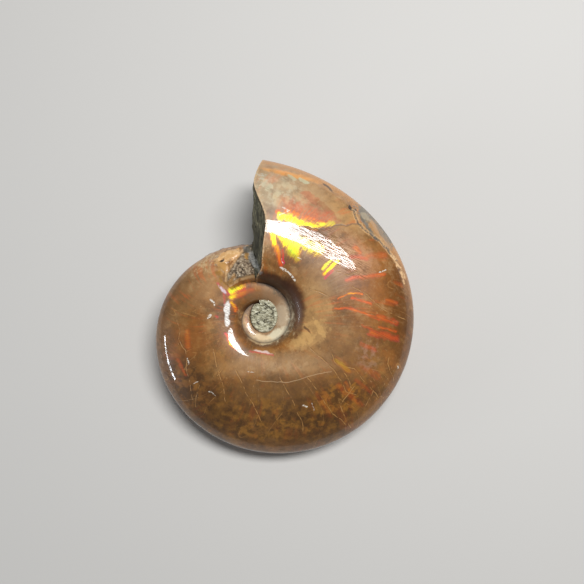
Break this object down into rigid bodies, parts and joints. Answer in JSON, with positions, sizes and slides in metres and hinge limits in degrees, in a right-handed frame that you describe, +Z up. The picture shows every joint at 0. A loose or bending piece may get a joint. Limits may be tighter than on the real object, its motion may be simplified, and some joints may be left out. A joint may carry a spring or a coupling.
{
  "type": "fossil ammonite",
  "caption": "Polished fossil ammonite, a coiled iridescent brown shell filled with grey stone, lying on its flank.",
  "frame": {"origin": "centre of the box around the fossil, on the surface it rests on", "axes": "+Z up from the surface, across the shell's thickness; +Y towards the aperture; the coil grows anticlockwise seen from +Z"},
  "size_m": [0.0394, 0.0446, 0.0136],
  "materials": {
    "polished_shell": "polished mother-of-pearl, mottled brown with red, orange and green fire, over grey stone"
  },
  "bodies": {
    "root": {"ammonite": "polished_shell"}
  },
  "joints": []
}
